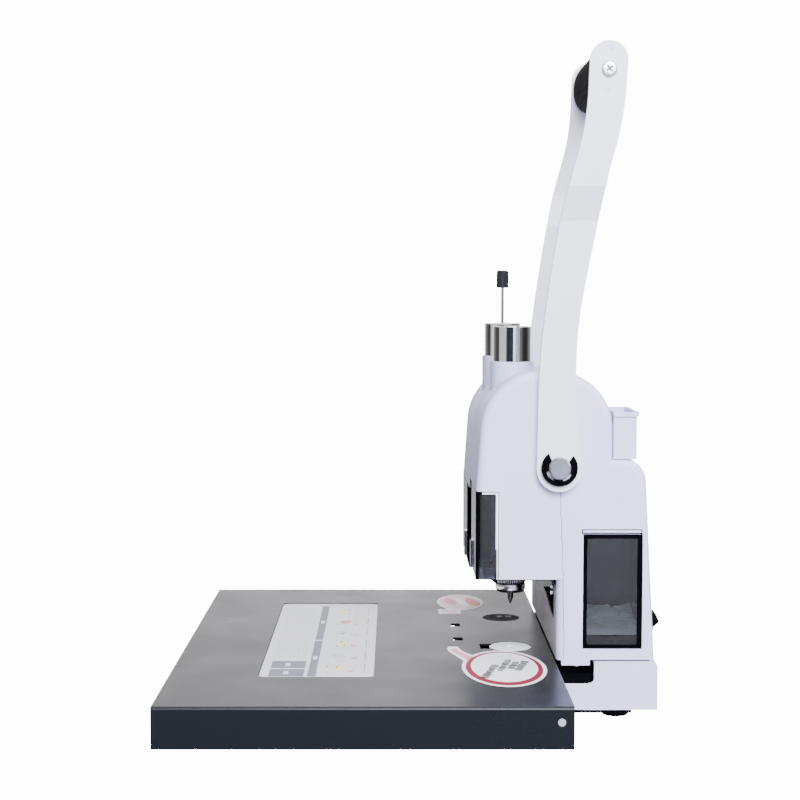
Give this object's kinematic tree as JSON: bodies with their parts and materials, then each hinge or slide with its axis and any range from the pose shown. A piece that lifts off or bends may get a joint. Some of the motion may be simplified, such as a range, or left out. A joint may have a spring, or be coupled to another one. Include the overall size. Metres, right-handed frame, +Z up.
{
  "type": "document riveting machine",
  "caption": "Desk machine that drills a stack of papers and rivets it: flat table, domed towers with plated rams, smoked guards, forked hand lever and a pull-out waste bin.",
  "frame": {"origin": "under the middle of the machine's bounding box, on the desk", "axes": "+X to the operator's right, +Y away from the operator towards the column, +Z up"},
  "size_m": [0.45, 0.383, 0.5275],
  "materials": {
    "body_white": "fine satin, cool white",
    "arm_white": "satin powder paint",
    "tray_white": "satin powder paint",
    "table_grey": "satin dark slate paint",
    "frame_black": "black, semi-matt",
    "chrome": "polished",
    "steel": "turned",
    "brass": "turned",
    "alloy": "milled",
    "black_plastic": "black, fine grain",
    "black_rubber": "black",
    "smoked": "smoked clear plastic",
    "card": "printed card under a clear film",
    "pad_black": "black cutting pad",
    "anvil_white": "bright turned",
    "board_green": "circuit board",
    "bin_smoked": "smoked clear plastic"
  },
  "bodies": {
    "machine": {"table_top": "table_grey", "instruction_card": "card", "drill_pad_seat": "steel", "rivet_anvil": "anvil_white", "anvil_heater": "brass", "base_tray": "tray_white", "runner_rails": "frame_black", "rubber_feet": "black_rubber", "cover_screws": "chrome", "frame_floor_plate": "frame_black", "frame_plate_right": "steel", "frame_plate_mid_right": "steel", "frame_plate_mid_left": "steel", "frame_plate_left": "steel", "column_front_plate": "tray_white", "side_cover_right": "body_white", "side_cover_left": "body_white", "tower_cover_right": "body_white", "tower_cover_left": "body_white", "rear_cover": "body_white", "tube_holder": "body_white", "window_right": "smoked", "window_left": "smoked", "bin_pocket": "black_plastic", "switch_frame": "black_plastic", "mains_inlet": "black_plastic", "shaft_bushes": "brass", "ram_guide_rivet": "alloy", "ram_guide_drill": "alloy", "control_board": "board_green", "stop_bracket": "frame_black", "die_guard": "frame_black"},
    "lever": {"lever_shaft": "steel", "lever_arm_right": "arm_white", "lever_arm_left": "arm_white", "lever_grip": "black_rubber", "grip_screws": "chrome", "grip_pins": "steel", "shaft_clips": "frame_black", "pinion_rivet": "steel", "pinion_drill": "steel"},
    "rivet_ram": {"ram_rivet": "steel", "ram_cap_rivet": "chrome", "rivet_head": "chrome", "rivet_pin": "steel"},
    "drill_ram": {"quill_drill": "steel", "ram_cap_drill": "chrome", "drill_carriage": "alloy", "drill_motor": "steel", "drive_belt": "black_rubber"},
    "spindle_unit": {"spindle": "steel", "spindle_pulley": "alloy", "chuck": "chrome", "drill_bit": "steel"},
    "motor_rotor": {"motor_pulley": "alloy"},
    "clearing_unit": {"clearing_rod": "steel", "clearing_knob": "black_plastic"},
    "bin": {"waste_bin": "bin_smoked"},
    "rocker_key": {"rocker": "black_plastic"},
    "pad": {"drill_pad": "pad_black"}
  },
  "joints": [
    {"name": "lever_hinge", "type": "hinge", "parent": "machine", "child": "lever", "pos_m": [0, 0.1095, 0.199], "axis": [1, 0, 0], "range_deg": [0, 75], "stiffness_Nm_per_rad": 1.25, "springref_deg": -45.84},
    {"name": "rivet_slide", "type": "slide", "parent": "machine", "child": "rivet_ram", "axis": [0, 0, -1], "range_m": [0, 0.0325]},
    {"name": "drill_slide", "type": "slide", "parent": "machine", "child": "drill_ram", "axis": [0, 0, -1], "range_m": [0, 0.0325]},
    {"name": "drill_spin", "type": "hinge", "parent": "drill_ram", "child": "spindle_unit", "pos_m": [-0.087, 0.0765, 0.15], "axis": [0, 0, 1], "continuous": true},
    {"name": "motor_spin", "type": "hinge", "parent": "drill_ram", "child": "motor_rotor", "pos_m": [-0.0515, 0.0775, 0.15], "axis": [0, 0, 1], "continuous": true},
    {"name": "clearing_slide", "type": "slide", "parent": "drill_ram", "child": "clearing_unit", "axis": [0, 0, -1], "range_m": [0, 0.029]},
    {"name": "bin_slide", "type": "slide", "parent": "machine", "child": "bin", "axis": [1, 0, 0], "range_m": [0, 0.06]},
    {"name": "rocker_tilt", "type": "hinge", "parent": "machine", "child": "rocker_key", "pos_m": [0.07, 0.1831, 0.0755], "axis": [1, 0, 0], "range_deg": [0, 5]},
    {"name": "pad_turn", "type": "hinge", "parent": "machine", "child": "pad", "pos_m": [-0.087, 0.0765, 0.04], "axis": [0, 0, 1], "continuous": true}
  ],
  "couplings": [
    {"joint": "rivet_slide", "follows": "lever_hinge", "m_per_rad": 0.02475},
    {"joint": "drill_slide", "follows": "lever_hinge", "m_per_rad": 0.02475},
    {"joint": "motor_spin", "follows": "drill_spin", "ratio": 1}
  ]
}
